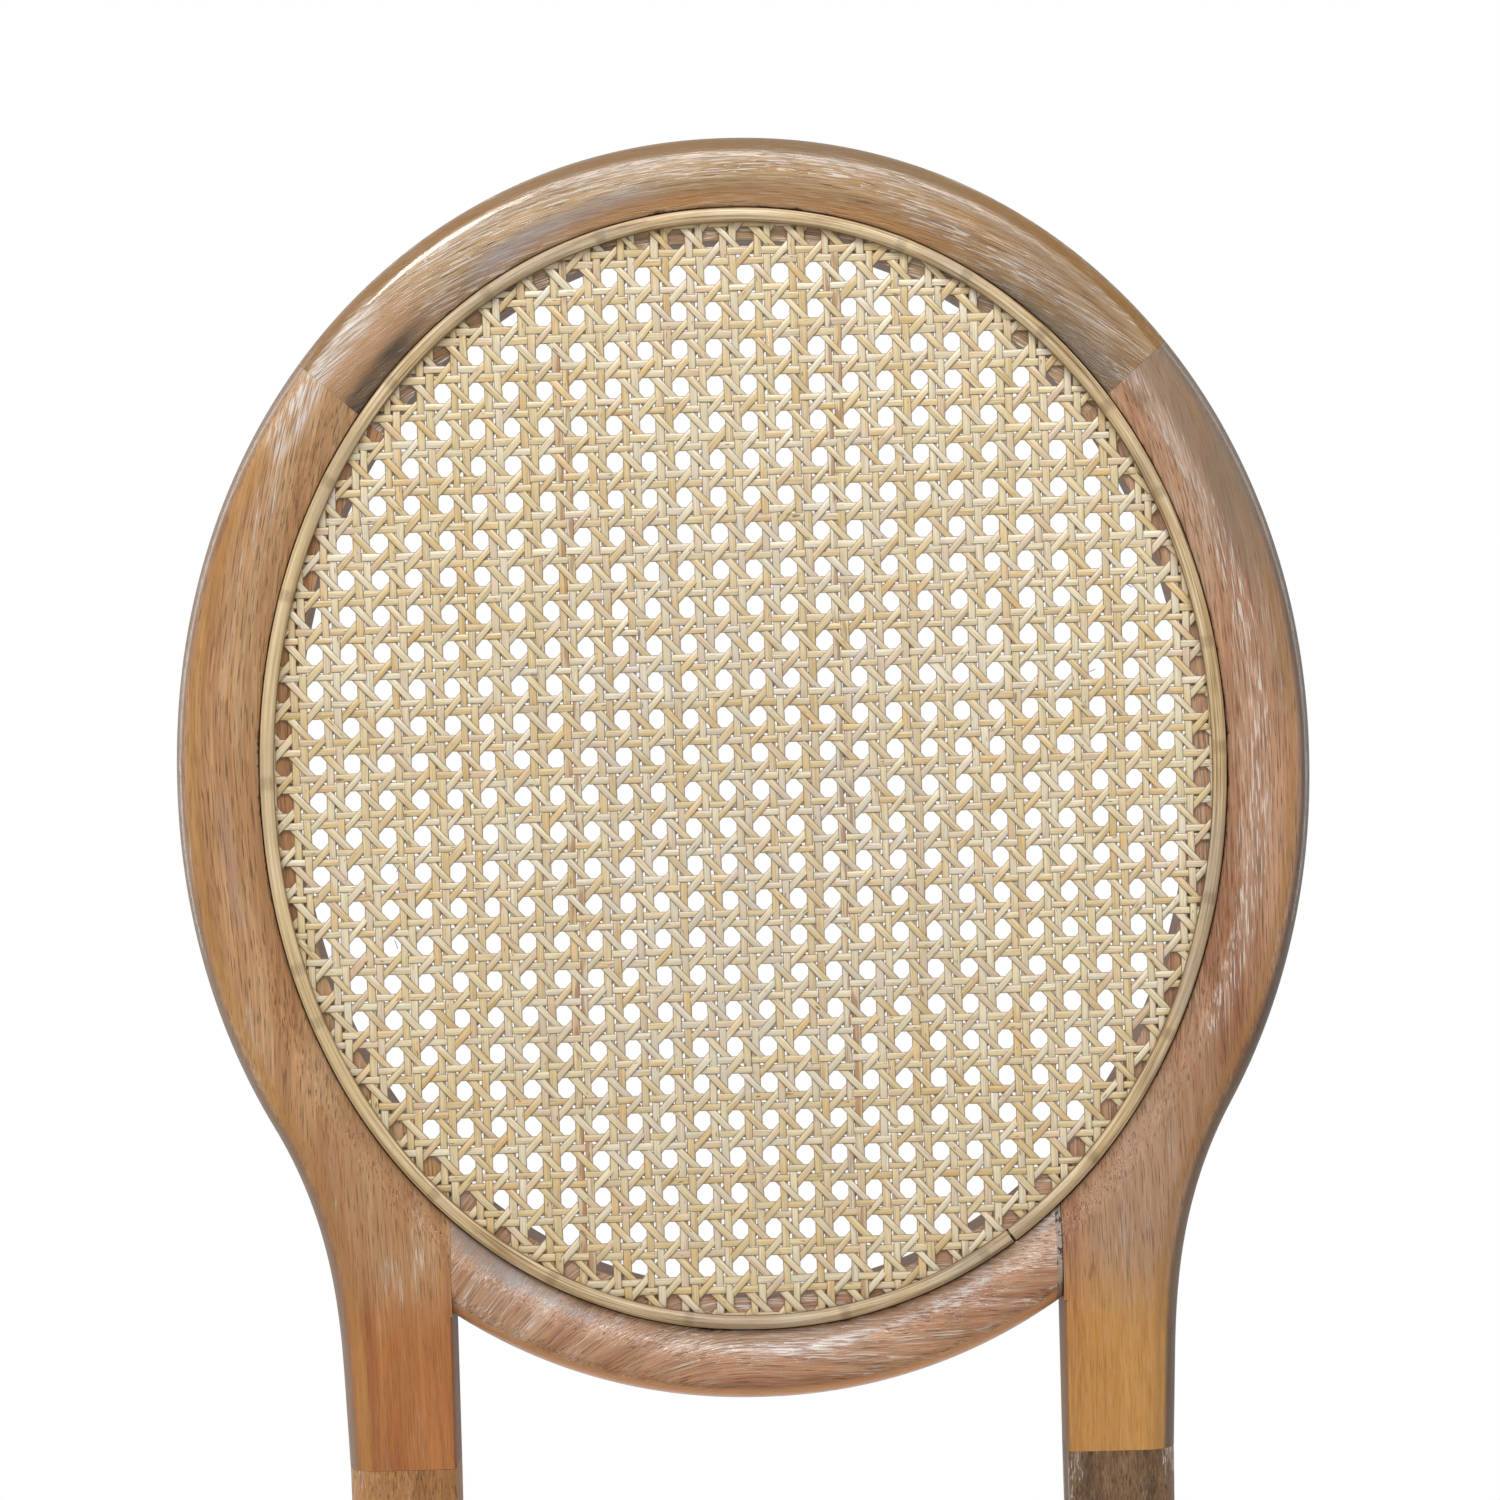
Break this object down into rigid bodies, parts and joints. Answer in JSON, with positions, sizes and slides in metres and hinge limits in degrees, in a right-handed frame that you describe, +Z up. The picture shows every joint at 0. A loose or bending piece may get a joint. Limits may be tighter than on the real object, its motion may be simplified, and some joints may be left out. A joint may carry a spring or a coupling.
{
  "type": "side chair",
  "caption": "Medallion-back dining side chair: oval hardwood back frame filled with woven cane, on swept stiles, with an upholstered seat, fluted front legs and splayed rear legs.",
  "frame": {"origin": "on the floor, under the middle of the chair's outline", "axes": "+Z up; the chair faces -Y, so the back and the rear legs are towards +Y; +X is the right side as seen from the front"},
  "size_m": [0.456, 0.5734, 0.9929],
  "materials": {
    "crest_wood": "whitewashed walnut stain, satin",
    "stile_wood": "whitewashed red-brown stain, satin",
    "lower_rail_wood": "whitewashed red-brown stain, satin",
    "leg_wood": "whitewashed walnut stain, satin",
    "seat_rail_wood": "whitewashed walnut stain, satin",
    "beech_dowel": "bare beech",
    "block_wood": "bare hardwood",
    "glide_nylon": "matte",
    "screw_steel": "zinc plated",
    "cane": "woven rattan cane, natural",
    "reed": "rattan reed, stained",
    "plywood": "raw plywood",
    "foam": "cut foam",
    "seat_linen": "plain woven linen",
    "welt_linen": "plain woven linen over cord",
    "black_cambric": "thin non-woven cloth"
  },
  "bodies": {
    "root": {"cane_panel": "cane", "cane_spline": "reed", "corner_block_front_left": "block_wood", "corner_block_front_right": "block_wood", "corner_block_rear_left": "block_wood", "corner_block_rear_right": "block_wood", "crest_dowel_left_1": "beech_dowel", "crest_dowel_left_2": "beech_dowel", "crest_dowel_right_1": "beech_dowel", "crest_dowel_right_2": "beech_dowel", "crest_rail": "crest_wood", "dust_cloth": "black_cambric", "floor_glide_front_left": "glide_nylon", "floor_glide_front_right": "glide_nylon", "floor_glide_rear_left": "glide_nylon", "floor_glide_rear_right": "glide_nylon", "front_leg_left": "leg_wood", "front_leg_right": "leg_wood", "lower_back_rail": "lower_rail_wood", "lower_rail_dowel_left_1": "beech_dowel", "lower_rail_dowel_left_2": "beech_dowel", "lower_rail_dowel_right_1": "beech_dowel", "lower_rail_dowel_right_2": "beech_dowel", "post_dowel_left_1": "beech_dowel", "post_dowel_left_2": "beech_dowel", "post_dowel_right_1": "beech_dowel", "post_dowel_right_2": "beech_dowel", "rear_leg_left": "leg_wood", "rear_leg_right": "leg_wood", "seat_cover": "seat_linen", "seat_deck": "plywood", "seat_foam": "foam", "seat_rail_front": "seat_rail_wood", "seat_rail_left": "seat_rail_wood", "seat_rail_rear": "seat_rail_wood", "seat_rail_right": "seat_rail_wood", "seat_screw_front_left": "screw_steel", "seat_screw_front_right": "screw_steel", "seat_screw_rear_left": "screw_steel", "seat_screw_rear_right": "screw_steel", "seat_welt": "welt_linen", "stile_left": "stile_wood", "stile_right": "stile_wood"}
  },
  "joints": []
}
